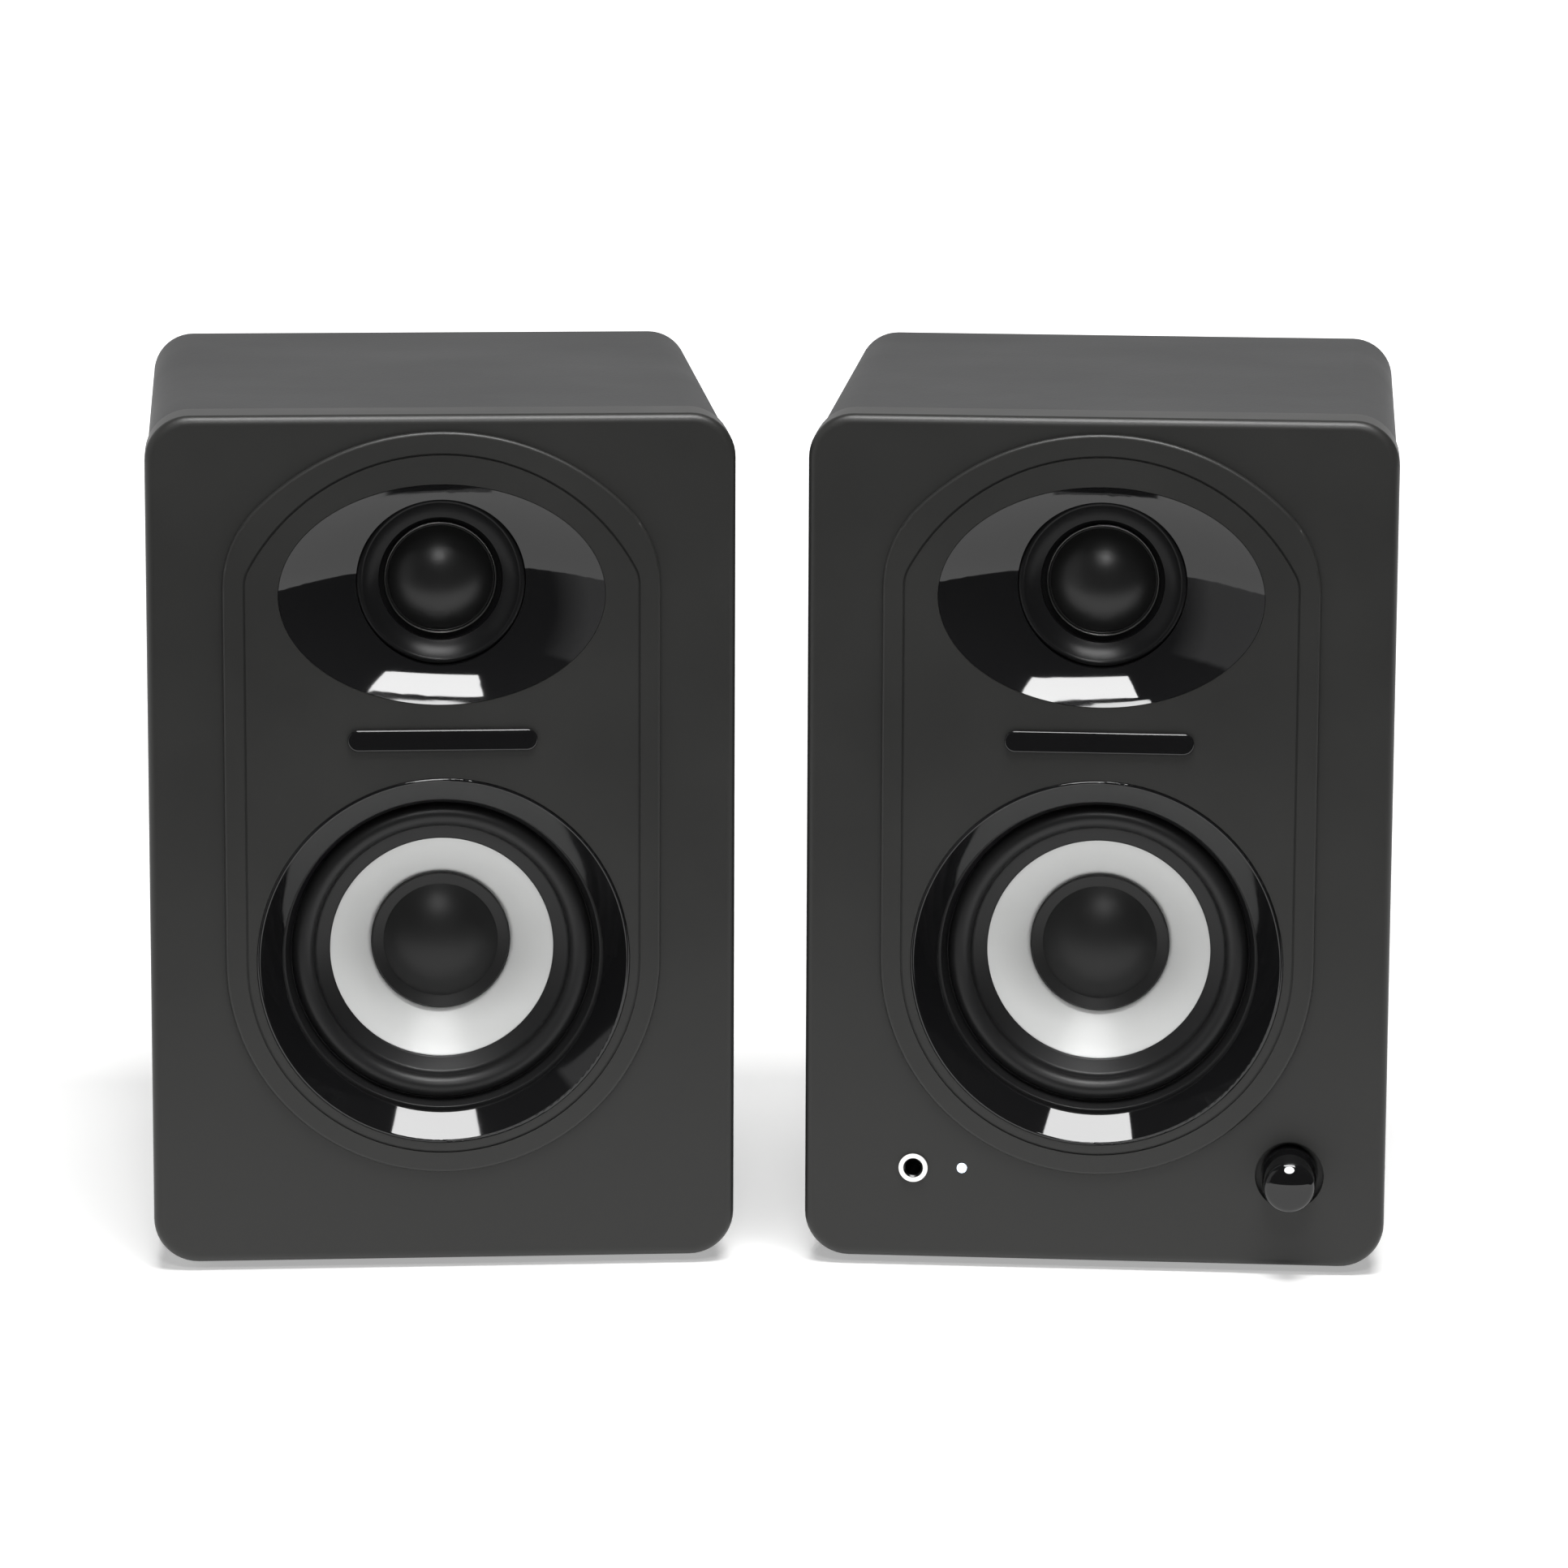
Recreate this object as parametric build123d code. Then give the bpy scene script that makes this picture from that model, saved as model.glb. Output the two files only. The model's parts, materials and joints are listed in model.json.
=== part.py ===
"""A pair of small powered desktop monitor loudspeakers, toed in as they stand on a desk.

The right cabinet holds the amplifier and the controls; the left one is passive. Each speaker is drawn in
its own local frame, in millimetres: X to the right, Y backwards from the front face, Z up from the desk.
place() then turns it about Z by the toe-in angle and moves it to its side of the pair.
"""

import os
from math import asin, atan2, cos, pi, radians, sin, sqrt

from build123d import *

# ---- driving dimensions, mm and degrees ----
WIDTH, HEIGHT, DEPTH = 130.0, 191.0, 158.0  # front panel width and height, cabinet depth
CORNER_R = 10.0
TOE_IN = 4.6  # each front turns this far towards the listener
SPACING = 145.4  # between the centres of the two front panels
FOOT_H = 2.0  # desk to the lower edge of the front panel
BAFFLE_T = 13.0  # depth of the moulded front panel
SKIN = 3.5  # its wall thickness
STEP = 0.5  # the cabinet is this much smaller than the front panel on every side
BOARD = 9.0  # cabinet board thickness
PAD = 1.2  # height of the raised racetrack on the front panel

WOOFER_Z = FOOT_H + 68.7
DISH_Z = FOOT_H + 151.2
TWEETER_Z = DISH_Z + 2.0  # the tweeter sits a little above the middle of its dish
BADGE_Z = FOOT_H + 118.8
CONTROLS_Z = FOOT_H + 21.0
PORT_Z = 157.0
MID_Z = FOOT_H + HEIGHT / 2

# racetrack: outer edge, then the fine groove inside it
TRACK_HALF, TRACK_TOP, TRACK_CROWN_R, TRACK_SHOULDER_R = 48.3, 118.7, 58.0, 24.7
GROOVE_HALF, GROOVE_TOP, GROOVE_CROWN_R, GROOVE_SHOULDER_R = 43.8, 114.0, 48.7, 8.0
GROOVE = 0.5

# woofer, radii about its axis and depths behind the front face
TRIM_R, TRIM_IN_R, TRIM_BACK = 41.4, 35.8, 7.6
SHELF_Y, SHELF_R = 8.6, 36.6
CONE_R, CAP_R, COIL_R = 28.2, 15.7, 10.0
SCREW_PCR = 39.1
GAP_FRONT, GAP_BACK, MAGNET_BACK, YOKE_BACK = 36.0, 40.0, 52.0, 56.0

# tweeter: half axes of the dish's mouth and the depth its bowl would reach on its own axis
DISH_A, DISH_B, DISH_BOWL = 36.0, 24.5, 11.0
HORN_R, HORN_RIM, THROAT_R, THROAT_Y = 18.7, 6.4, 13.8, 9.3
DOME_R, DOME_Y = 11.7, 11.6
MOTOR_Y = 13.6

# port, rear panels and their fittings
PORT_R, PORT_WALL, PORT_LENGTH = 15.0, 2.0, 60.0
CUP_Z, CUP_W, CUP_H = 46.0, 62.0, 48.0
PANEL_Z, PANEL_W, PANEL_H, PANEL_T = 71.0, 104.0, 118.0, 2.0
CLIP_W, CLIP_H, CLIP_DEPTH, CLIP_PITCH = 12.6, 20.0, 9.0, 16.0
BLOCK_W, BLOCK_H = 38.0, 26.0
LEVER_W, PIVOT_R = 12.0, 1.1
TERMINAL_X, TERMINAL_Z = -22.0, 36.0
MAINS_X, MAINS_Z = 28.0, 32.0
ROCKER_X, ROCKER_Z, ROCKER_TILT = 28.0, 58.0, 8.0
SIGNAL_Z = 96.0
RCA_X, AUX_X, BASS_X = (-34.0, -17.0), 4.0, 28.0
RCA_R, RCA_BODY_R, JACK_BORE_R, BUSH_R = 4.15, 5.1, 1.8, 3.0
INLET_W, INLET_H, SWITCH_W, SWITCH_H = 20.0, 12.0, 13.0, 19.0

BOARD_Y, BOARD_T = 141.0, 1.6  # front face of the amplifier's circuit board, and any board's thickness

# front controls
KNOB_X, KNOB_R, KNOB_TIP_R, KNOB_OUT, MOAT_R = 43.7, 6.4, 5.7, 13.0, 7.7
SHAFT_R, SHAFT_FRONT, CONTROL_BOARD_Y = 3.0, -8.0, 15.0
PHONES_X, LED_X, LED_R = -40.5, -29.6, 1.1

# pegs that locate the front panel, and the one size of screw, for the woofers and the rear plates
PEG_R, PEG_LENGTH = 2.0, 8.0
SCREW_R, SCREW_HEAD_R, SCREW_HEAD_H, SCREW_LENGTH = 1.0, 1.75, 1.3, 8.0

SLIP = 0.1  # fixed clearance where one piece drops into another
RUN = 0.06  # running clearance on a pivot

nodes = {}


# ---- helpers ----
def face_plane(depth, height=0.0, across=0.0):
    """A plane parallel to the front face that looks out of it: x to the right, y up."""
    return Plane(origin=(across, depth, height), x_dir=(1, 0, 0), z_dir=(0, -1, 0))


def slab(sketch, front, back, height=0.0, across=0.0):
    """The sketch drawn out between two depths."""
    return extrude(face_plane(back, height, across) * sketch, back - front)


def disc(radius, front, back, height=0.0, across=0.0):
    return slab(Circle(radius), front, back, height, across)


def turned(*outline):
    """A solid turned about the Y axis from a closed outline of (radius, depth) points."""
    return revolve(make_face(Polyline(*outline, close=True)), Axis.Y)


def turned_curves(*curves):
    return revolve(make_face(list(curves)), Axis.Y)


def ball(radius, edge, apex):
    """Ball on the axis whose front is at depth apex and which has the given radius at depth edge."""
    rise = edge - apex
    ball_r = (radius**2 + rise**2) / (2 * rise)
    return Location((0, apex + ball_r, 0)) * Sphere(ball_r)


def ball_cap(radius, edge, apex, floor):
    """The front of such a ball, cut off flat at depth floor."""
    return ball(radius, edge, apex) & disc(2 * radius, apex - 1, floor)


def at(shape, height, across=0.0):
    return Location((across, 0, height)) * shape


def ring_of(count, radius, start=45.0):
    """Points round a circle in a face plane, as (across, up) pairs."""
    turns = [radians(start) + 2 * pi * i / count for i in range(count)]
    return [(radius * cos(turn), radius * sin(turn)) for turn in turns]


def mirrored(point):
    return (-point[0], point[1])


def track_outline(half, top, crown_r, shoulder_r):
    """Racetrack about the woofer's axis: a half circle below, straight sides, shoulders and a flat crown."""
    crown_z = top - crown_r
    shoulder_x = half - shoulder_r
    shoulder_z = crown_z + sqrt((crown_r - shoulder_r) ** 2 - shoulder_x**2)
    lean = atan2(shoulder_z - crown_z, shoulder_x)  # of the line from the crown's centre to the shoulder's
    meet = (crown_r * cos(lean), crown_z + crown_r * sin(lean))
    middle = (shoulder_x + shoulder_r * cos(lean / 2), shoulder_z + shoulder_r * sin(lean / 2))
    right = (half, shoulder_z)
    return make_face([
        ThreePointArc((-half, 0), (0, -half), (half, 0)),
        Line((half, 0), right),
        ThreePointArc(right, middle, meet),
        ThreePointArc(meet, (0, top), mirrored(meet)),
        ThreePointArc(mirrored(meet), mirrored(middle), mirrored(right)),
        Line(mirrored(right), (-half, 0)),
    ])


def place(shape, side):
    """From a speaker's local frame to its place in the pair."""
    sign = -1 if side == "left" else 1
    return Location((sign * SPACING / 2, 0, 0), (0, 0, -sign * TOE_IN)) * shape


def keep(name, shape, side):
    nodes[name] = place(shape, side)


# ---- cabinet and front panel ----
def cabinet_shell(side):
    """Wrapped board cabinet: a rounded box, open at the front, with the rear cut-outs."""
    outline = RectangleRounded(WIDTH - 2 * STEP, HEIGHT - 2 * STEP, CORNER_R - STEP)
    outer = slab(outline, BAFFLE_T, DEPTH, MID_Z)
    outer = fillet(outer.faces().sort_by(Axis.Y)[-1].edges(), 1.0)
    inset = 2 * (STEP + BOARD)
    room = RectangleRounded(WIDTH - inset, HEIGHT - inset, 3)
    shell = outer - slab(room, BAFFLE_T - 1, DEPTH - BOARD, MID_Z)
    shell -= disc(PORT_R + PORT_WALL + SLIP, DEPTH - BOARD - 1, DEPTH + 1, PORT_Z)
    if side == "left":
        shell -= slab(Rectangle(CUP_W - 14, CUP_H - 14), DEPTH - BOARD - 1, DEPTH + 1, CUP_Z)
    else:
        shell -= slab(Rectangle(PANEL_W - 12, PANEL_H - 12), DEPTH - BOARD - 1, DEPTH + 1, PANEL_Z)
    for x, z in rear_screw_points(side):
        shell -= disc(SCREW_R + RUN, DEPTH - SCREW_LENGTH - 0.5, DEPTH + 1, z, x)
    for x, z in peg_points():
        shell -= disc(PEG_R + SLIP, BAFFLE_T - 1, BAFFLE_T + PEG_LENGTH + 0.5, z, x)
    return shell


def peg_points():
    """Centres of the four pegs that locate the front panel in the ends of the cabinet boards."""
    x, z = WIDTH / 2 - 6.5, HEIGHT / 2 - 6.5
    return [(i * x, MID_Z + k * z) for i in (-1, 1) for k in (-1, 1)]


def front_baffle(side):
    """Moulded front panel: rounded skin, raised racetrack, the woofer's seat and the tweeter's mouth."""
    body = slab(RectangleRounded(WIDTH, HEIGHT, CORNER_R), 0, BAFFLE_T, MID_Z)
    body = fillet(body.faces().sort_by(Axis.Y)[0].edges(), 2.0)
    behind = RectangleRounded(WIDTH - 2 * SKIN, HEIGHT - 2 * SKIN, CORNER_R - SKIN)
    body -= slab(behind, SKIN, BAFFLE_T + 1, MID_Z)
    track = track_outline(TRACK_HALF, TRACK_TOP, TRACK_CROWN_R, TRACK_SHOULDER_R)
    track = slab(track, -PAD, SKIN / 2, WOOFER_Z)
    body += fillet(track.faces().sort_by(Axis.Y)[0].edges(), 0.7)
    groove = track_outline(GROOVE_HALF, GROOVE_TOP, GROOVE_CROWN_R, GROOVE_SHOULDER_R)
    body -= slab(groove - offset(groove, -GROOVE), -PAD - 1, -PAD + GROOVE, WOOFER_Z)
    # seat for the woofer
    body += disc(TRIM_R + 3, SKIN - 1, SHELF_Y + 3.4, WOOFER_Z)
    body -= disc(TRIM_R + SLIP, -PAD - 1, SHELF_Y, WOOFER_Z)
    body -= disc(SHELF_R, SHELF_Y - 1, SHELF_Y + 4, WOOFER_Z)
    for x, z in ring_of(4, SCREW_PCR):
        body -= disc(SCREW_R + RUN, SHELF_Y - 1, SHELF_Y + 4, WOOFER_Z + z, x)
    # mouth of the tweeter's waveguide
    body -= slab(Ellipse(DISH_A + SLIP, DISH_B + SLIP), -PAD - 1, SKIN + 1, DISH_Z)
    for x, z in peg_points():
        body += disc(PEG_R, SKIN - 1, BAFFLE_T + PEG_LENGTH, z, x)
        body += slab(Rectangle(3 * PEG_R, 3 * PEG_R), SKIN - 1, BAFFLE_T, z, x)
    if side == "right":
        body += disc(MOAT_R + 2, SKIN - 1, SKIN + 2, CONTROLS_Z, KNOB_X)
        body -= disc(MOAT_R, -1, SKIN, CONTROLS_Z, KNOB_X)
        body -= disc(SHAFT_R + 0.4, SKIN - 1, SKIN + 3, CONTROLS_Z, KNOB_X)
        body -= disc(3.0 + RUN, -1, SKIN + 1, CONTROLS_Z, PHONES_X)
        body -= disc(LED_R + RUN, -1, SKIN + 1, CONTROLS_Z, LED_X)
    return body


def badge():
    """A plain blank nameplate bar, stuck on the racetrack between the drivers."""
    bar = slab(SlotOverall(42.0, 4.8), -PAD - 1.0, -PAD, BADGE_Z)
    return fillet(bar.faces().sort_by(Axis.Y)[0].edges(), 0.4)


def feet():
    x, near, far = WIDTH / 2 - 16, BAFFLE_T + 12, DEPTH - 14
    return Compound([Location((i * x, y, 0)) * foot() for i in (-1, 1) for y in (near, far)])


def foot():
    pad = extrude(Circle(7.0), FOOT_H + STEP)
    return chamfer(pad.faces().sort_by(Axis.Z)[0].edges(), 0.4)


# ---- woofer ----
def woofer_trim_ring():
    lip, throat = -PAD - 0.3, 4.2
    body = turned_curves(
        Line((TRIM_R, lip + 0.5), (TRIM_R, TRIM_BACK)),
        Line((TRIM_R, TRIM_BACK), (TRIM_IN_R + 1.4, TRIM_BACK)),
        Line((TRIM_IN_R + 1.4, TRIM_BACK), (TRIM_IN_R + 1.4, 7.0)),
        Line((TRIM_IN_R + 1.4, 7.0), (TRIM_IN_R, 7.0)),
        Line((TRIM_IN_R, 7.0), (TRIM_IN_R, throat)),
        Line((TRIM_IN_R, throat), (TRIM_R - 0.7, lip + 0.1)),
        ThreePointArc((TRIM_R - 0.7, lip + 0.1), (TRIM_R - 0.25, lip), (TRIM_R, lip + 0.5)),
    )
    hollow = turned((37.3, 5.2), (40.9, 5.2), (40.9, TRIM_BACK + 1), (37.3, TRIM_BACK + 1))
    return at(body - hollow, WOOFER_Z)


def woofer_basket():
    """Pressed steel frame: mounting flange, windowed cone, spider shelf and the floor behind the motor."""
    frame = turned(
        (35.2, TRIM_BACK), (41.2, TRIM_BACK), (41.2, SHELF_Y), (36.1, SHELF_Y), (36.1, 13.2),
        (28.4, 30.6), (28.4, 32.0), (22.9, 32.0), (22.9, GAP_FRONT), (12.5, GAP_FRONT), (12.5, 35.1),
        (22.0, 35.1), (22.0, 31.1), (27.5, 31.1), (27.5, 30.2), (35.2, 12.8),
    )
    for i in range(6):
        window = Location((0, 22, 0), (0, 60 * i, 0)) * Location((0, 0, 32)) * Box(17, 12, 20)
        frame -= fillet(window.edges(), 2.0)
    for x, z in ring_of(4, SCREW_PCR):
        frame -= disc(SCREW_R + RUN, TRIM_BACK - 1, SHELF_Y + 1, z, x)
    return at(frame, WOOFER_Z)


def woofer_surround():
    """Rubber half roll between the basket's flange and the cone's edge."""
    front = [
        Line((36.9, 7.0), (34.7, 7.0)),
        Line((34.7, 7.0), (33.7, 10.4)),
        ThreePointArc((33.7, 10.4), (31.0, 8.0), (28.9, 12.3)),
        Line((28.9, 12.3), (25.0, 13.9)),
    ]
    back = [
        Line((25.0, 13.9), (25.0, 14.5)),
        Line((25.0, 14.5), (29.3, 12.9)),
        ThreePointArc((29.3, 12.9), (31.1, 8.6), (33.5, 11.2)),
        Line((33.5, 11.2), (34.1, 11.2)),
        Line((34.1, 11.2), (35.1, 7.6)),
        Line((35.1, 7.6), (36.9, 7.6)),
        Line((36.9, 7.6), (36.9, 7.0)),
    ]
    return at(turned_curves(*front, *back), WOOFER_Z)


def woofer_cone():
    """Thin cone from the surround's lip down to the neck that grips the voice coil."""
    return at(turned_curves(
        Line((CONE_R, 13.6), (CONE_R, 14.4)),
        ThreePointArc((CONE_R, 14.4), (18.9, 21.2), (COIL_R + 0.4, 30.0)),
        Line((COIL_R + 0.4, 30.0), (COIL_R + 0.15, 29.4)),
        Line((COIL_R + 0.15, 29.4), (COIL_R + 0.15, 28.2)),
        ThreePointArc((COIL_R + 0.15, 28.2), (18.5, 20.6), (24.95, 14.75)),
        Line((24.95, 14.75), (CONE_R, 13.6)),
    ), WOOFER_Z)


def woofer_dust_cap():
    """Domed cap with a flat rim glued to the cone."""
    edge, foot_y, apex, thick = 12.9, 22.4, 18.2, 0.6
    inside_y = foot_y + thick
    rim = turned(
        (edge - 0.3, inside_y), (edge, foot_y), (CAP_R - 0.4, 21.6), (CAP_R, 22.1), (14.6, inside_y),
    )
    cap = ball_cap(edge, foot_y, apex, inside_y) + rim
    return at(cap - ball_cap(edge - 0.3, inside_y, apex + thick, inside_y + 1), WOOFER_Z)


def woofer_voice_coil():
    """Former tube with the winding in the magnet's gap."""
    return at(turned(
        (COIL_R - 0.2, 28.0), (COIL_R + 0.1, 28.0), (COIL_R + 0.1, 34.5), (COIL_R + 0.55, 34.5),
        (COIL_R + 0.55, 42.5), (COIL_R - 0.2, 42.5),
    ), WOOFER_Z)


def woofer_spider():
    """Corrugated cloth disc that centres the coil."""
    inner, rim, outer, rest, thick = COIL_R + 0.2, 24.3, 27.3, 30.5, 0.5
    waves, height = 4, 0.55
    count = waves * 8
    front = []
    for i in range(count + 1):
        radius = inner + (rim - inner) * i / count
        front.append((radius, rest - height * (1 - cos(2 * pi * waves * i / count)) / 2))
    front.append((outer, rest))
    back = [(radius, depth + thick) for radius, depth in reversed(front)]
    return at(turned(*front, *back), WOOFER_Z)


def woofer_motor_plates():
    """Steel front plate and the back plate with its pole, either side of the magnet."""
    hole, pole, edge = COIL_R + 0.95, COIL_R - 0.6, 28.0
    front_plate = turned((hole, GAP_FRONT), (edge, GAP_FRONT), (edge, GAP_BACK), (hole, GAP_BACK))
    yoke = turned(
        (0, GAP_FRONT), (pole, GAP_FRONT), (pole, MAGNET_BACK), (edge - 1, MAGNET_BACK),
        (edge, MAGNET_BACK + 1), (edge, YOKE_BACK - 1), (edge - 1, YOKE_BACK), (0, YOKE_BACK),
    )
    return at(Compound([front_plate, yoke]), WOOFER_Z)


def woofer_magnet():
    ring = turned((15, GAP_BACK), (30, GAP_BACK), (30, MAGNET_BACK), (15, MAGNET_BACK))
    return at(ring, WOOFER_Z)


# ---- tweeter ----
def tweeter_waveguide():
    """Elliptical bowl round the tweeter; its flange sits behind the front panel."""
    rim, flange, wall = -PAD - 0.1, 2.0, 1.5
    body = slab(Ellipse(DISH_A, DISH_B), rim, SKIN, DISH_Z)
    body += slab(RectangleRounded(82, 60, 12), SKIN, SKIN + flange, DISH_Z)
    body += slab(Ellipse(31, 22), SKIN, rim + DISH_BOWL * 0.8 + wall, DISH_Z)
    body += disc(HORN_R + 2.6, SKIN, MOTOR_Y, TWEETER_Z)
    body -= dish_bowl(rim)
    return body - disc(HORN_R + SLIP, rim, MOTOR_Y + 1, TWEETER_Z)


def dish_bowl(rim):
    """The bowl's hollow: elliptical sections whose size falls off as a parabola from rim to floor."""
    sections = []
    for i in range(6):
        size = 1.02 - 0.12 * i
        depth = rim + DISH_BOWL * (1 - size**2)
        sections.append(face_plane(depth, DISH_Z) * Ellipse(DISH_A * size, DISH_B * size))
    return loft(sections)


def tweeter_faceplate():
    """Round bowl-shaped horn in the dish, with the fine ring that clamps the dome."""
    clamp_in, clamp_out, clamp_y, floor = DOME_R + 0.4, DOME_R + 0.85, 10.9, 12.4
    clamp_top = ((clamp_in + clamp_out) / 2, clamp_y)
    edge = HORN_R - 0.9
    return at(turned_curves(
        Line((HORN_R, HORN_RIM + 0.7), (HORN_R, MOTOR_Y)),
        Line((HORN_R, MOTOR_Y), (clamp_in, MOTOR_Y)),
        Line((clamp_in, MOTOR_Y), (clamp_in, clamp_y + 0.2)),
        ThreePointArc((clamp_in, clamp_y + 0.2), clamp_top, (clamp_out, clamp_y + 0.2)),
        Line((clamp_out, clamp_y + 0.2), (clamp_out, floor)),
        Line((clamp_out, floor), (THROAT_R, floor)),
        Line((THROAT_R, floor), (THROAT_R, THROAT_Y)),
        ThreePointArc((THROAT_R, THROAT_Y), (15.75, 8.15), (edge - 0.4, HORN_RIM + 0.2)),
        ThreePointArc((edge - 0.4, HORN_RIM + 0.2), (edge, HORN_RIM), (HORN_R, HORN_RIM + 0.7)),
    ), TWEETER_Z)


def tweeter_dome():
    """Silk dome with its voice coil, which move together."""
    apex, thick, coil_end, inner = DOME_Y - 5.4, 0.4, DOME_Y + 5.8, DOME_R - 0.7
    seam = DOME_Y - 0.05
    dome = ball_cap(DOME_R, DOME_Y, apex, DOME_Y)
    dome += disc(DOME_R, seam, DOME_Y + thick)
    dome += disc(inner + thick, seam, coil_end)
    dome -= ball_cap(inner, DOME_Y, apex + thick, DOME_Y)
    dome -= disc(inner, seam, coil_end + 1)
    return at(dome, TWEETER_Z)


def tweeter_motor():
    """Front plate, ring magnet and back plate with its pole."""
    front, back, rear, end = MOTOR_Y, MOTOR_Y + 2, MOTOR_Y + 9, MOTOR_Y + 11.5
    hole, pole, edge = DOME_R + 0.3, DOME_R - 1.2, 19.0
    plate = turned((hole, front), (edge, front), (edge, back), (hole, back))
    magnet = turned((13.5, back), (20, back), (20, rear), (13.5, rear))
    yoke = turned((0, front), (pole, front), (pole, rear), (edge, rear), (edge, end), (0, end))
    return at(Compound([plate, magnet, yoke]), TWEETER_Z)


# ---- shared rear pieces ----
def port_tube():
    """Bass-reflex port: flared mouth, flange on the cabinet's back and a straight tube inside."""
    mouth, flare = DEPTH + PANEL_T, 4.0
    bend = flare * (1 - sqrt(0.5))
    outer, end = PORT_R + PORT_WALL, DEPTH + PANEL_T - PORT_LENGTH
    return at(turned_curves(
        Line((PORT_R, end), (outer, end)),
        Line((outer, end), (outer, DEPTH)),
        Line((outer, DEPTH), (PORT_R + 6.5, DEPTH)),
        Line((PORT_R + 6.5, DEPTH), (PORT_R + 6.5, mouth - 0.8)),
        Line((PORT_R + 6.5, mouth - 0.8), (PORT_R + 5.7, mouth)),
        Line((PORT_R + 5.7, mouth), (PORT_R + flare, mouth)),
        ThreePointArc((PORT_R + flare, mouth), (PORT_R + bend, mouth - bend), (PORT_R, mouth - flare)),
        Line((PORT_R, mouth - flare), (PORT_R, end)),
    ), PORT_Z)


def screw(across, height, depth, outwards):
    """Pan-head screw with a cross recess; depth is its head's underside, outwards the way it points."""
    head = extrude(Circle(SCREW_HEAD_R), SCREW_HEAD_H)
    body = fillet(head.faces().sort_by(Axis.Z)[-1].edges(), 0.7) + extrude(Circle(SCREW_R), -SCREW_LENGTH)
    for turn in (0, 90):
        body -= Location((0, 0, SCREW_HEAD_H), (0, 0, turn)) * Box(2.1, 0.5, 1.4)
    return Plane(origin=(across, depth, height), x_dir=(1, 0, 0), z_dir=(0, outwards, 0)) * body


def rear_screw_points(side):
    if side == "left":
        x, z = CUP_W / 2 - 3.5, CUP_H / 2 - 3.5
        return [(i * x, CUP_Z + k * z) for i in (-1, 1) for k in (-1, 1)]
    x, z = PANEL_W / 2 - 3.0, PANEL_H / 2 - 3.0
    return [(i * x, PANEL_Z + k * z) for i in (-1, 1) for k in (-1, 0, 1)]


def screws(side):
    """The same screw holds the woofer from the front and the rear plate from the back."""
    woofer = [screw(x, WOOFER_Z + z, TRIM_BACK, -1) for x, z in ring_of(4, SCREW_PCR)]
    rear = [screw(x, z, DEPTH + PANEL_T, 1) for x, z in rear_screw_points(side)]
    return Compound(woofer + rear)


def clip_pocket(across, height):
    """Room for one spring-clip lever, with the blind holes that its pivot turns in."""
    mouth = DEPTH + PANEL_T
    pocket = slab(Rectangle(CLIP_W, CLIP_H), mouth - CLIP_DEPTH, mouth + 5, height, across)
    pivot = Plane.YZ.offset(across) * Location((mouth - 3, height + 7)) * Circle(PIVOT_R + RUN)
    return pocket + extrude(pivot, (CLIP_W + 2.6) / 2, both=True)


def clip_lever(across, height):
    """Lever of a spring clip: it pivots near its top, and a push on the tab opens the wire's slot."""
    mouth = DEPTH + PANEL_T
    side_view = make_face(Polyline(
        (mouth - 5.4, height + 9.0), (mouth - 1.2, height + 9.0), (mouth + 0.6, height + 2.0),
        (mouth + 3.6, height - 3.0), (mouth + 3.6, height - 6.4), (mouth - 1.4, height - 6.4),
        (mouth - 3.4, height + 0.0), (mouth - 5.4, height + 4.5), close=True))
    plate = extrude(Plane.YZ.offset(across) * side_view, LEVER_W / 2, both=True)
    plate = fillet(plate.edges().filter_by(Axis.X), 0.5)
    pivot = Plane.YZ.offset(across) * Location((mouth - 3, height + 7)) * Circle(PIVOT_R)
    return plate + extrude(pivot, (LEVER_W + 2.2) / 2, both=True)


def terminal_block(across, height):
    """Moulded block with two clip pockets side by side."""
    mouth = DEPTH + PANEL_T
    body = slab(Rectangle(BLOCK_W, BLOCK_H), mouth - CLIP_DEPTH - 2.5, mouth, height, across)
    for i in (-1, 1):
        body -= clip_pocket(across + i * CLIP_PITCH / 2, height)
    return body


def terminal_cup():
    """The same block in a screwed flange, for the passive speaker."""
    flange = slab(RectangleRounded(CUP_W, CUP_H, 4), DEPTH, DEPTH + PANEL_T, CUP_Z)
    cup = flange - slab(Rectangle(BLOCK_W - 1, BLOCK_H - 1), DEPTH - 1, DEPTH + PANEL_T + 1, CUP_Z)
    cup += terminal_block(0, CUP_Z)
    for x, z in rear_screw_points("left"):
        cup -= disc(SCREW_R + RUN, DEPTH - 1, DEPTH + PANEL_T + 1, z, x)
    return cup


def crossover_capacitor():
    """The tweeter's series capacitor, lying on the cabinet's floor with its strap."""
    floor = FOOT_H + STEP + BOARD
    can = Location((0, 112, floor + 8), (0, 90, 0)) * Cylinder(8, 30)
    return fillet(can.edges().filter_by(GeomType.CIRCLE), 1.0)


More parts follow.
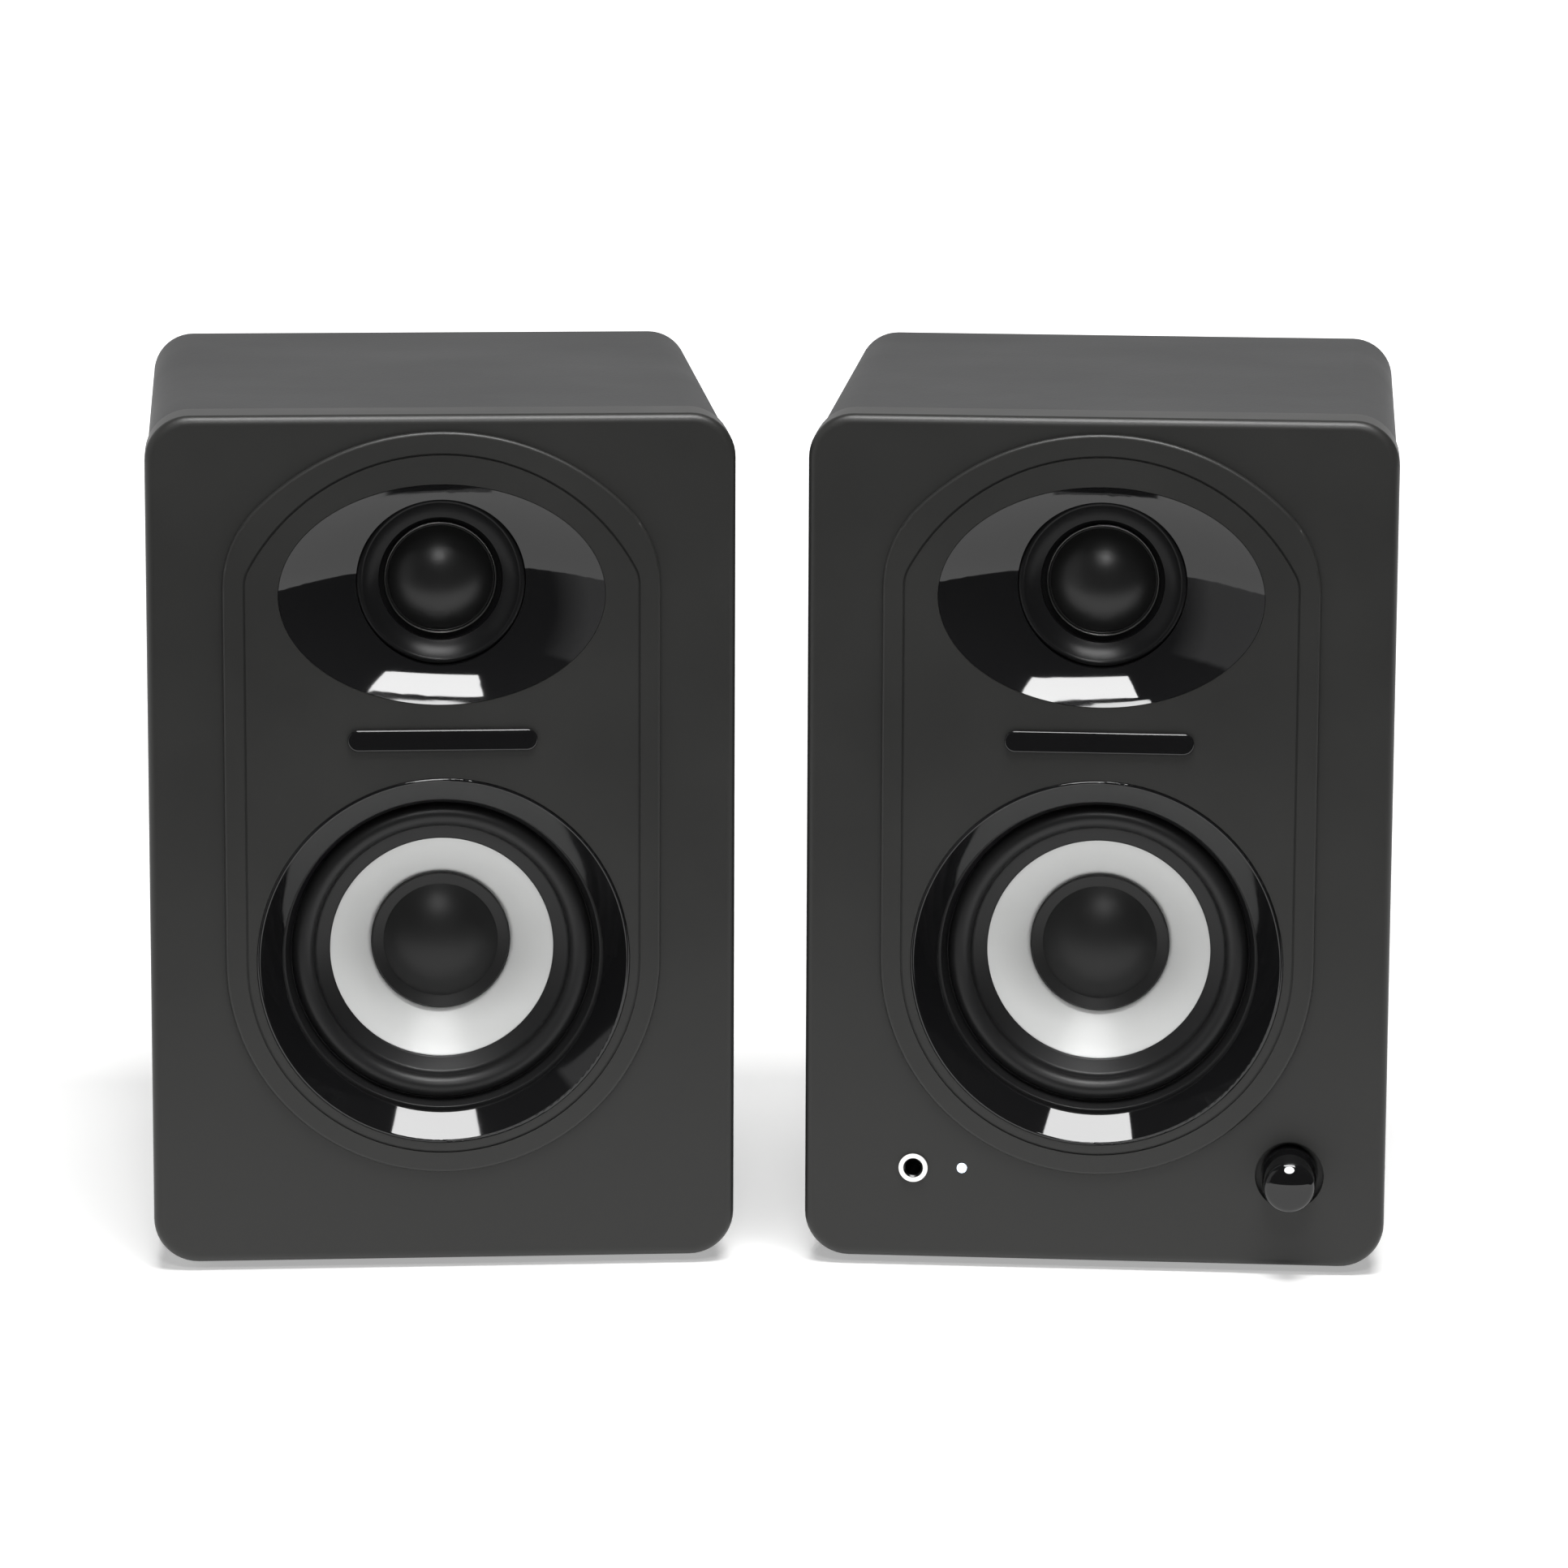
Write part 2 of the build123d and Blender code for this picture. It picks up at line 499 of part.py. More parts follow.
# ---- amplifier, right cabinet ----
def amp_panel():
    """Metal rear plate of the amplifier with the cut-outs for its fittings."""
    plate = slab(RectangleRounded(PANEL_W, PANEL_H, 4), DEPTH, DEPTH + PANEL_T, PANEL_Z)
    cuts = [
        (Rectangle(BLOCK_W + SLIP, BLOCK_H + SLIP), TERMINAL_X, TERMINAL_Z),
        (Rectangle(INLET_W + SLIP, INLET_H + SLIP), MAINS_X, MAINS_Z),
        (Rectangle(SWITCH_W + SLIP, SWITCH_H + SLIP), ROCKER_X, ROCKER_Z),
        (Rectangle(8.6, 3.6), BASS_X, SIGNAL_Z),
        (Circle(BUSH_R + SLIP), AUX_X, SIGNAL_Z),
    ]
    cuts += [(Circle(RCA_BODY_R + SLIP), x, SIGNAL_Z) for x in RCA_X]
    cuts += [(Circle(SCREW_R + RUN), x, z) for x, z in rear_screw_points("right")]
    for shape, x, z in cuts:
        plate -= slab(shape, DEPTH - 1, DEPTH + PANEL_T + 1, z, x)
    return plate


def amp_board():
    """Circuit board behind the signal sockets: filter capacitors, cooler and the bass switch's body."""
    board = slab(Rectangle(88, 48), BOARD_Y, BOARD_Y + BOARD_T, 99)
    board += slab(Rectangle(13, 8), BOARD_Y + BOARD_T, DEPTH - 3.3, SIGNAL_Z, BASS_X)
    cans = [disc(7, BOARD_Y - 22, BOARD_Y, 108, x) for x in (-30, -13)]
    cooler = slab(Rectangle(30, 26), BOARD_Y - 4, BOARD_Y, 108, 20)
    for i in range(6):
        cooler += slab(Rectangle(1.6, 26), BOARD_Y - 18, BOARD_Y - 3, 108, 6.5 + 5.4 * i)
    return Compound([board, *cans, cooler])


def transformer():
    """Mains transformer on the cabinet's floor: laminated core with feet, and windings round its leg."""
    core_w, core_h, core_t, leg, window_h, foot_w = 48.0, 38.0, 16.0, 15.0, 24.0, 62.0
    window_w = 9.0
    wire_t, wire_h, gap = 6.8, window_h - 0.6, 0.2
    lift = FOOT_H + STEP + BOARD + core_h / 2
    middle = Location((0, 100, lift))
    core = Box(core_w, core_t, core_h)
    windings = []
    for i in (-1, 1):
        across = i * (leg + window_w) / 2
        core -= Location((across, 0, 0)) * Box(window_w, core_t + 2, window_h)
        windings.append(Location((across, 0, 0)) * Box(window_w - 2 * gap, core_t + 2 * wire_t, wire_h))
        beside = Location((0, i * (core_t / 2 + gap + wire_t / 2), 0))
        windings.append(beside * Box(leg + 0.4, wire_t, wire_h))
    core += Location((0, 0, 1 - core_h / 2)) * Box(foot_w, core_t, 2)
    return middle * Compound([core, windings[0] + windings[1] + windings[2] + windings[3]])


def mains_inlet():
    """Two-pin mains inlet: a rounded socket with two round pins."""
    x, z, mouth = MAINS_X, MAINS_Z, DEPTH + PANEL_T
    body = slab(Rectangle(INLET_W, INLET_H), mouth - 16, mouth, z, x)
    body += slab(RectangleRounded(INLET_W + 4, INLET_H + 4, 2), mouth, mouth + 1.6, z, x)
    body -= slab(SlotOverall(15.6, 8.4), mouth - 10, mouth + 2, z, x)
    for i in (-1, 1):
        body += disc(1.18, mouth - 11, mouth - 1, z, x + i * 4.3)
    return body


def power_switch_housing():
    """Bezel and body of the rocker switch, with the two blind holes that the rocker turns in."""
    x, z, mouth = ROCKER_X, ROCKER_Z, DEPTH + PANEL_T
    body = slab(Rectangle(SWITCH_W, SWITCH_H), mouth - 14, mouth, z, x)
    body += slab(RectangleRounded(SWITCH_W + 2, SWITCH_H + 2, 1), mouth, mouth + 1.5, z, x)
    body -= slab(Rectangle(SWITCH_W - 2.6, SWITCH_H - 3.8), mouth - 8, mouth + 2, z, x)
    return body - extrude(Plane.YZ.offset(x) * Location((mouth - 1, z)) * Circle(1.0 + RUN), 6.3, both=True)


def power_rocker():
    """Rocker with its two pivot stubs, tipped to its on side."""
    x, z, mouth = ROCKER_X, ROCKER_Z, DEPTH + PANEL_T
    outline = make_face([
        Line((mouth - 3.5, z - 6.3), (mouth + 2.4, z - 7.0)),
        ThreePointArc((mouth + 2.4, z - 7.0), (mouth + 1.4, z), (mouth + 2.4, z + 7.0)),
        Line((mouth + 2.4, z + 7.0), (mouth - 3.5, z + 6.3)),
        Line((mouth - 3.5, z + 6.3), (mouth - 3.5, z - 6.3)),
    ])
    rocker = extrude(Plane.YZ.offset(x) * outline, 4.9, both=True)
    rocker += extrude(Plane.YZ.offset(x) * Location((mouth - 1, z)) * Circle(1.0), 6.0, both=True)
    return rocker.rotate(Axis((x, mouth - 1, z), (1, 0, 0)), -ROCKER_TILT)


def rca_jacks():
    """Red and white phono input sockets."""
    mouth = DEPTH + PANEL_T
    jacks = []
    for x in RCA_X:
        jack = disc(RCA_R, mouth, mouth + 8, SIGNAL_Z, x) + disc(5.4, mouth, mouth + 1.2, SIGNAL_Z, x)
        jack += disc(RCA_BODY_R, BOARD_Y + BOARD_T, mouth, SIGNAL_Z, x)
        jack -= disc(3.3, mouth + 1, mouth + 9, SIGNAL_Z, x) - disc(2.6, mouth, mouth + 7, SIGNAL_Z, x)
        jacks.append(jack - disc(1.6, mouth - 6, mouth + 9, SIGNAL_Z, x))
    return Compound(jacks)


def jack_socket(across, height, face, out):
    """3.5 mm socket: a ring and a round bush in front of a square body. out is the way it opens along Y."""
    ring = Plane(origin=(across, face, height), x_dir=(1, 0, 0), z_dir=(0, out, 0))
    bush, body, bore, lead = 4.0, 11.0, 13.0, 0.35
    shape = extrude(ring * Circle(3.25), 0.8) + extrude(ring * Circle(BUSH_R), -bush)
    shape += extrude(ring.offset(-bush) * Rectangle(9, 9), -body)
    shape -= extrude(ring.offset(0.8) * Circle(JACK_BORE_R), -bore - 0.8)
    mouth = [ring.offset(0.8 - lead) * Circle(JACK_BORE_R), ring.offset(0.8) * Circle(JACK_BORE_R + lead)]
    return shape - loft(mouth)


def bass_slider():
    """Slide-switch button for the bass lift, with the tongue that carries it behind the plate."""
    mouth = DEPTH + PANEL_T
    knob = slab(Rectangle(4.6, 3.2), DEPTH - 2, mouth + 1.8, SIGNAL_Z, BASS_X - 1.5)
    for i in (-1, 0, 1):
        knob -= slab(Rectangle(0.5, 4), mouth + 1.2, mouth + 2, SIGNAL_Z, BASS_X - 1.5 + i * 1.3)
    return knob + slab(Rectangle(6.4, 5.4), DEPTH - 3.2, DEPTH - 0.4, SIGNAL_Z, BASS_X - 1.5)


# ---- front controls, right cabinet ----
def volume_knob():
    """Tapered knob with a domed end, deep in its recess."""
    back, front, crown_r, crown = 2.4, -KNOB_OUT, 4.4, 0.7
    shoulder = (KNOB_TIP_R + 0.05, front + 2.4)
    body = turned_curves(
        Line((0, back), (KNOB_R, back)),
        Line((KNOB_R, back), shoulder),
        ThreePointArc(shoulder, (KNOB_TIP_R - 0.35, front + 1.35), (crown_r, front + crown + 0.05)),
        Line((crown_r, front + crown + 0.05), (crown_r, front - 1)),
        Line((crown_r, front - 1), (0, front - 1)),
        Line((0, front - 1), (0, back)),
    )
    body &= ball(crown_r, front + crown, front)
    body -= disc(SHAFT_R, SHAFT_FRONT, back + 1)
    return at(body, CONTROLS_Z, KNOB_X)


def volume_shaft():
    """The potentiometer's shaft, pressed into the knob, with the wiper disc at its inner end."""
    shaft = disc(SHAFT_R, SHAFT_FRONT, 7.0) + disc(4.2, 7.0, 8.2)
    return at(shaft, CONTROLS_Z, KNOB_X)


def volume_pot():
    """Potentiometer body round the wiper disc."""
    body = slab(Rectangle(12, 12), 6.0, CONTROL_BOARD_Y)
    body -= disc(SHAFT_R + 0.3, 5.0, 7.0) + disc(4.6, 6.7, 9.0)
    return at(body, CONTROLS_Z, KNOB_X)


def power_led():
    lens = disc(LED_R, -0.5, SKIN + 0.2) + disc(1.7, SKIN + 0.05, SKIN + 1.2)
    lens += disc(1.5, SKIN + 1.1, CONTROL_BOARD_Y)
    return at(fillet(lens.faces().sort_by(Axis.Y)[0].edges(), 0.45), CONTROLS_Z, LED_X)


def control_board():
    """Small circuit board that carries the volume control, the headphone socket and the lamp."""
    return slab(Rectangle(104, 15), CONTROL_BOARD_Y, CONTROL_BOARD_Y + BOARD_T, CONTROLS_Z)


# ---- assembly ----
def build_speaker(side):
    common = {
        "cabinet_shell": cabinet_shell(side),
        "front_baffle": front_baffle(side),
        "badge": badge(),
        "feet": feet(),
        "woofer_trim_ring": woofer_trim_ring(),
        "woofer_basket": woofer_basket(),
        "woofer_surround": woofer_surround(),
        "woofer_cone": woofer_cone(),
        "woofer_dust_cap": woofer_dust_cap(),
        "woofer_voice_coil": woofer_voice_coil(),
        "woofer_spider": woofer_spider(),
        "woofer_motor_plates": woofer_motor_plates(),
        "woofer_magnet": woofer_magnet(),
        "tweeter_waveguide": tweeter_waveguide(),
        "tweeter_faceplate": tweeter_faceplate(),
        "tweeter_dome": tweeter_dome(),
        "tweeter_motor": tweeter_motor(),
        "port_tube": port_tube(),
        "screws": screws(side),
    }
    for name, shape in common.items():
        keep(f"{side}_{name}", shape, side)


def build_left_only():
    keep("left_terminal_cup", terminal_cup(), "left")
    keep("left_crossover_capacitor", crossover_capacitor(), "left")
    for i, colour in ((-1, "black"), (1, "red")):
        keep(f"left_clip_lever_{colour}", clip_lever(i * CLIP_PITCH / 2, CUP_Z), "left")


def build_right_only():
    pieces = {
        "amp_panel": amp_panel(),
        "amp_board": amp_board(),
        "transformer": transformer(),
        "mains_inlet": mains_inlet(),
        "power_switch_housing": power_switch_housing(),
        "power_rocker": power_rocker(),
        "rca_jacks": rca_jacks(),
        "aux_jack": jack_socket(AUX_X, SIGNAL_Z, DEPTH + PANEL_T, 1),
        "bass_slider": bass_slider(),
        "terminal_block": terminal_block(TERMINAL_X, TERMINAL_Z),
        "volume_knob": volume_knob(),
        "volume_shaft": volume_shaft(),
        "volume_pot": volume_pot(),
        "headphone_jack": jack_socket(PHONES_X, CONTROLS_Z, 0, -1),
        "power_led": power_led(),
        "control_board": control_board(),
    }
    for i, colour in ((-1, "black"), (1, "red")):
        pieces[f"right_clip_lever_{colour}"] = clip_lever(TERMINAL_X + i * CLIP_PITCH / 2, TERMINAL_Z)
    for name, shape in pieces.items():
        keep(name, shape, "right")


def centre_shift():
    """Moves the pair so that the origin is at the bottom centre of its box."""
    box = Compound([s for shape in nodes.values() for s in shape.solids()]).bounding_box()
    return Location((-(box.min.X + box.max.X) / 2, -(box.min.Y + box.max.Y) / 2, -box.min.Z))


def main():
    build_speaker("left")
    build_speaker("right")
    build_left_only()
    build_right_only()
    shift = centre_shift()
    os.makedirs("parts", exist_ok=True)
    for name, shape in nodes.items():
        solids = (shift * shape).solids()
        export_step(solids[0] if len(solids) == 1 else Compound(solids), f"parts/{name}.step")
    print("nodes", len(nodes), "shift", shift.position)


main()
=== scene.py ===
import json
from math import cos, hypot, pi, radians, sin

import bmesh
import bpy
from mathutils import Matrix, Vector


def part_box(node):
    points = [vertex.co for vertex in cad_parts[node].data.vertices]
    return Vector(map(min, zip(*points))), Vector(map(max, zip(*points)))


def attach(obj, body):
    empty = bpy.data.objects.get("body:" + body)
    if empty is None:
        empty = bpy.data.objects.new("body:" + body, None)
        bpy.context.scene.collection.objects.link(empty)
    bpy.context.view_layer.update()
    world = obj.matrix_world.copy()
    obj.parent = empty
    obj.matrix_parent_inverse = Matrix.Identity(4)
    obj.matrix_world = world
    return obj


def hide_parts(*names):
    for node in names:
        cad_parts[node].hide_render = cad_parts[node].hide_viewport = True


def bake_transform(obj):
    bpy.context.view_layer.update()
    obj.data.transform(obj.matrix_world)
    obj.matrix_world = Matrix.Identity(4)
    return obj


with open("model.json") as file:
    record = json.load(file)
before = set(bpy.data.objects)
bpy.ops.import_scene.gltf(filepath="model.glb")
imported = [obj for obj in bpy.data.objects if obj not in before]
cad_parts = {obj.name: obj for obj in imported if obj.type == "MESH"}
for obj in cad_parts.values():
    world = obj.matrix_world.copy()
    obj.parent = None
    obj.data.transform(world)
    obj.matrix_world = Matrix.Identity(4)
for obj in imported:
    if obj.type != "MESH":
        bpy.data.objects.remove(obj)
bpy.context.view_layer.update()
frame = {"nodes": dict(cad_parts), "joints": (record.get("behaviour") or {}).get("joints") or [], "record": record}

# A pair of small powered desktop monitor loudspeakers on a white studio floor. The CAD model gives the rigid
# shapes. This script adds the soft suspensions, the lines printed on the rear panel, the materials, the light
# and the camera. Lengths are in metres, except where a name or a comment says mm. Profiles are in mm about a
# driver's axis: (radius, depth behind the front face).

NODES = frame["nodes"]
MM = 0.001
SIDES = ("left", "right")

# depths in mm behind the front face of the middles of three round nodes
MAGNET_MIDDLE = 46.0
TWEETER_PLATE_MIDDLE = 10.0
KNOB_MIDDLE = -5.3

# coloured areas on CAD nodes, in mm about the node's own axis; the clamp ring's brighter metallic colour is a
# painted highlight
CLAMP_RING_R, CLAMP_RING_DEPTH = 12.67, 11.35
MARK_UP, MARK_R, MARK_DEPTH = 4.3, 1.1, -9.05
MARK_UPRIGHT = 1.55  # the mark is this many times wider than tall
SOCKET_HOLE_R = 2.23
INSULATOR_R = 3.025

# lines printed on the rear panel: width, corner, depth of the panel's face and height above it, mm
PRINT_LINE, PRINT_CORNER, PRINT_FACE, PRINT_PROUD = 0.35, 2.5, 1.0, 0.03

FLOOR_SIZE = 40.0
TABLE_FRONT = -0.34
BACKDROP_R = 60.0
NEAR_GLOW, FAR_GLOW = 0.38, 1.1

CAMERA_PLACE = (0.0010, -1.5418, 0.3863)
CAMERA_PITCH, CAMERA_YAW, CAMERA_ROLL = 0.1858, 0.0013, 0.0046  # radians
LENS_MM, SENSOR_MM = 154.4, 36.0


# ---- places, read from the frame ----
def forward(side):
    """The way a speaker's front faces."""
    joint = next(row for row in frame["joints"] if row["name"] == f"{side}_woofer_travel")
    return Vector(joint["axis"]).normalized()


def middle(node):
    low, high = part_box(node)
    return (low + high) / 2


def axis_frame(side, node, depth):
    """Matrix from (across, back, up) in metres about a node's axis, with the node's middle at depth mm."""
    back = -forward(side)
    up = Vector((0, 0, 1))
    across = back.cross(up)
    place = middle(node) - back * depth * MM
    columns = Matrix((across, back, up)).transposed().to_4x4()
    return Matrix.Translation(place) @ columns


def woofer_frame(side):
    return axis_frame(side, f"{side}_woofer_magnet", MAGNET_MIDDLE)


def tweeter_frame(side):
    return axis_frame(side, f"{side}_tweeter_faceplate", TWEETER_PLATE_MIDDLE)


def on_axis(place, rows, name):
    """The same directions and depth, moved so that the axis runs through a recorded joint or mount."""
    point = next(row["pos_m"] for row in rows if row["name"] == name)
    offset = place.inverted() @ Vector(point)
    return place @ Matrix.Translation((offset.x, 0, offset.z))


def mount_frame(node, name):
    """Frame about the axis of one of the right speaker's mounts, with depths from the node's middle."""
    return on_axis(axis_frame("right", node, 0.0), frame["record"]["mounts"], name)


# ---- mesh helpers ----
def mesh_object(name, verts, faces, smooth=True):
    mesh = bpy.data.meshes.new(name)
    mesh.from_pydata(verts, [], faces)
    mesh.update()
    for face in mesh.polygons:
        face.use_smooth = smooth
    piece = bpy.data.objects.new(name, mesh)
    bpy.context.scene.collection.objects.link(piece)
    return piece


def turned(name, place, outline, segments=160):
    """A closed ring turned about the driver's axis from an outline of (radius, depth) points in mm."""
    verts = []
    for i in range(segments):
        turn = 2 * pi * i / segments
        verts += [place @ Vector((r * cos(turn) * MM, y * MM, r * sin(turn) * MM)) for r, y in outline]
    count = len(outline)
    faces = []
    for i in range(segments):
        a, b = i * count, (i + 1) % segments * count
        for k in range(count):
            n = (k + 1) % count
            faces.append((a + k, a + n, b + n, b + k))
    piece = mesh_object(name, verts, faces)
    outward_normals(piece)
    return piece


def outward_normals(piece):
    shape = bmesh.new()
    shape.from_mesh(piece.data)
    bmesh.ops.recalc_face_normals(shape, faces=shape.faces)
    shape.to_mesh(piece.data)
    shape.free()


def arc(centre, radius, start, end, steps):
    """Points on an arc; angles in degrees from the radius axis towards the back."""
    out = []
    for i in range(steps + 1):
        a = radians(start + (end - start) * i / steps)
        out.append((centre[0] + radius * cos(a), centre[1] + radius * sin(a)))
    return out


def sheet_outline(front, thick):
    """Outline of a thin ring whose front is the given line and whose back lies straight behind it."""
    return front + [(r, y + thick) for r, y in reversed(front)]


def blend_by_radius(piece, place, outer, inner):
    """Bakes the ring's placement into its mesh; each vertex's share between the outer and the inner radius is
    worked out but not kept.
    """
    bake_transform(piece)
    to_axis = place.inverted()
    for vert in piece.data.vertices:
        local = to_axis @ vert.co
        share = (outer - hypot(local.x, local.z) / MM) / (outer - inner)
        share = min(max(share, 0.0), 1.0)


# ---- soft suspensions ----
def woofer_surround(side, material):
    """Rubber half roll from under the trim ring to the lip that is glued to the cone."""
    roll_r, roll_y, roll = 31.2, 10.7, 2.55
    front = [(36.9, 7.0), (35.25, 7.0), (35.15, 7.04), (35.1, 7.15), (34.2, 9.3), (34.0, 9.9)]
    front += arc((roll_r, roll_y), roll, 0, -180, 40)
    front += [(28.55, 11.9), (28.3, 12.45), (27.9, 12.75), (25.4, 13.7), (25.05, 13.86)]
    place = woofer_frame(side)
    piece = turned(f"{side}_surround_roll", place, sheet_outline(front, 0.55))
    piece.data.materials.append(material)
    blend_by_radius(piece, place, 33.6, 28.8)
    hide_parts(f"{side}_woofer_surround")


def woofer_spider(side, material):
    """Corrugated cloth disc behind the cone."""
    inner, outer, depth, wave, waves, steps = 10.2, 24.3, 30.5, 0.55, 4, 48
    front = []
    for i in range(steps + 1):
        swell = wave * (1 - cos(2 * pi * waves * i / steps)) / 2
        front.append((inner + (outer - inner) * i / steps, depth - swell))
    front.append((27.3, depth))
    place = woofer_frame(side)
    piece = turned(f"{side}_spider_cloth", place, sheet_outline(front, 0.5), segments=96)
    piece.data.materials.append(material)
    blend_by_radius(piece, place, 25.0, 11.0)
    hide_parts(f"{side}_woofer_spider")


def tweeter_surround(side, material):
    """Narrow silk roll between the dome and the ring that clamps it."""
    front = [(12.25, 11.62)] + arc((11.9, 11.6), 0.28, 0, -180, 16) + [(11.55, 11.6)]
    place = tweeter_frame(side)
    piece = turned(f"{side}_dome_roll", place, sheet_outline(front, 0.15), segments=128)
    piece.data.materials.append(material)
    blend_by_radius(piece, place, 12.1, 11.65)


# ---- printed lines ----
def rounded_rectangle(half_w, half_h, corner, steps=6):
    """Points (across, up) in mm round a rectangle with round corners."""
    points = []
    for i, (x, z) in enumerate(((1, 1), (-1, 1), (-1, -1), (1, -1))):
        centre = (x * (half_w - corner), z * (half_h - corner))
        points += arc(centre, corner, 90 * i, 90 * i + 90, steps)
    return points


def printed_frame(name, across, up, width, height, material):
    """Fine printed line round a group of sockets; places in mm from the middle of the amplifier panel."""
    half_w, half_h = width / 2, height / 2
    outer = rounded_rectangle(half_w, half_h, PRINT_CORNER)
    inner = rounded_rectangle(half_w - PRINT_LINE, half_h - PRINT_LINE, PRINT_CORNER - PRINT_LINE)
    place = axis_frame("right", "amp_panel", 0.0)
    top = PRINT_FACE + PRINT_PROUD
    verts = []
    for loop, depth in ((outer, PRINT_FACE), (outer, top), (inner, top), (inner, PRINT_FACE)):
        verts += [place @ (Vector((across + x, depth, up + z)) * MM) for x, z in loop]
    count = len(outer)
    faces = []
    for row in range(4):
        a, b = row * count, (row + 1) % 4 * count
        for k in range(count):
            n = (k + 1) % count
            faces.append((a + k, a + n, b + n, b + k))
    piece = mesh_object(name, verts, faces, smooth=False)
    outward_normals(piece)
    piece.data.materials.append(material)
    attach(piece, "right_cabinet")


def printed_lines():
    ink = grained("print_grey", (0.32, 0.32, 0.32), (0.40, 0.40, 0.40), 0.5, 0.05, 1300, 0.000005)
    printed_frame("print_inputs", -3.0, 25.0, 86.0, 18.0, ink)
    printed_frame("print_speaker", -22.0, -35.0, 46.0, 34.0, ink)
    printed_frame("print_power", 28.0, -25.5, 31.0, 53.0, ink)


# ---- material helpers ----
def new_material(name):
    material = bpy.data.materials.new(name)
    material.use_nodes = True
    return material, *shader_of(material)


def shader_of(material):
    """A material's node tree and its shader."""
    tree = material.node_tree
    return tree, tree.nodes["Principled BSDF"]


def feed(bsdf, name, value):
    """Links a value to one of the shader's inputs."""
    bsdf.id_data.links.new(value, bsdf.inputs[name])


def add(tree, kind, **values):
    """A node with its inputs set by name; spaces in input names are written as underscores."""
    made = tree.nodes.new(kind)
    for name, value in values.items():
        made.inputs[name.replace("_", " ")].default_value = value
    return made


def coordinates(tree):
    return tree.nodes.new("ShaderNodeTexCoord").outputs["Object"]


def noise(tree, vector, scale, detail=3.0, roughness=0.5):
    made = add(tree, "ShaderNodeTexNoise", Scale=scale, Detail=detail, Roughness=roughness)
    tree.links.new(vector, made.inputs["Vector"])
    return made.outputs["Fac"]


def spread(tree, value, low, high, from_low=0.3, from_high=0.7):
    """Maps a value from one range to another; the first range suits a noise."""
    made = add(tree, "ShaderNodeMapRange", From_Min=from_low, From_Max=from_high, To_Min=low, To_Max=high)
    tree.links.new(value, made.inputs["Value"])
    return made.outputs["Result"]


def within(tree, value, limit, edge=0.05):
    """1 where a value in metres is below the limit and 0 above it; limit and half the edge's width in mm."""
    return spread(tree, value, 1.0, 0.0, (limit - edge) * MM, (limit + edge) * MM)


def mixed(tree, factor, first, second):
    """Colour between two RGB triples."""
    made = tree.nodes.new("ShaderNodeMix")
    made.data_type = "RGBA"
    made.inputs["A"].default_value = (*first, 1)
    made.inputs["B"].default_value = (*second, 1)
    tree.links.new(factor, made.inputs["Factor"])
    return made.outputs["Result"]


def vector_math(tree, operation, first, second):
    """Vector node on a link and a constant vector."""
    made = tree.nodes.new("ShaderNodeVectorMath")
    made.operation = operation
    tree.links.new(first, made.inputs[0])
    made.inputs[1].default_value = second
    return made


def length(tree, vector):
    made = tree.nodes.new("ShaderNodeVectorMath")
    made.operation = "LENGTH"
    tree.links.new(vector, made.inputs[0])
    return made.outputs["Value"]


def radius_about(tree, where, place, upright=1.0):
    """Distance in metres from the axis that runs front to back through the given place.

    Heights count `upright` times, so a value above 1 makes a disc into a low ellipse.
    """
    centre = place.to_translation()
    axis = place.to_3x3().col[1]
    local = vector_math(tree, "SUBTRACT", where, centre).outputs["Vector"]
    local = vector_math(tree, "MULTIPLY", local, (1.0, 1.0, upright)).outputs["Vector"]
    across = vector_math(tree, "CROSS_PRODUCT", local, axis).outputs["Vector"]
    return length(tree, across)


def depth_behind(tree, where, place):
    """Distance in metres behind the given place, along the same axis."""
    local = vector_math(tree, "SUBTRACT", where, place.to_translation()).outputs["Vector"]
    return vector_math(tree, "DOT_PRODUCT", local, place.to_3x3().col[1]).outputs["Value"]


def product(tree, first, second):
    made = tree.nodes.new("ShaderNodeMath")
    made.operation = "MULTIPLY"
    tree.links.new(first, made.inputs[0])
    tree.links.new(second, made.inputs[1])
    return made.outputs["Value"]


def over_colour(tree, bsdf, factor, colour):
    """Lays a plain colour over the shader's own colour where factor is 1."""
    old = bsdf.inputs["Base Color"].links[0].from_socket
    made = tree.nodes.new("ShaderNodeMix")
    made.data_type = "RGBA"
    made.inputs["B"].default_value = (*colour, 1)
    tree.links.new(factor, made.inputs["Factor"])
    tree.links.new(old, made.inputs["A"])
    feed(bsdf, "Base Color", made.outputs["Result"])


def bump(tree, bsdf, height, depth):
    """Relief of the given depth in metres."""
    made = add(tree, "ShaderNodeBump", Distance=depth, Strength=1.0)
    tree.links.new(height, made.inputs["Height"])
    feed(bsdf, "Normal", made.outputs["Normal"])


def grained(name, dark, light, rough, rough_change, grain, depth, shine=0.5):
    """Moulded surface: cloudy colour and roughness, with a fine grain in relief."""
    material, tree, bsdf = new_material(name)
    where = coordinates(tree)
    clouds = noise(tree, where, 28.0, 4.0)
    fine = noise(tree, where, grain, 2.0, 0.6)
    feed(bsdf, "Base Color", mixed(tree, clouds, dark, light))
    feed(bsdf, "Roughness", spread(tree, clouds, rough - rough_change, rough + rough_change))
    bump(tree, bsdf, fine, depth)
    bsdf.inputs["Specular IOR Level"].default_value = shine
    return material


# ---- materials ----
def front_plastic():
    """Fine spark-eroded texture of the moulded front."""
    dark, light = (0.013, 0.013, 0.0125), (0.017, 0.017, 0.016)
    return grained("front_plastic", dark, light, 0.4, 0.03, 2400, 0.000012, 0.36)


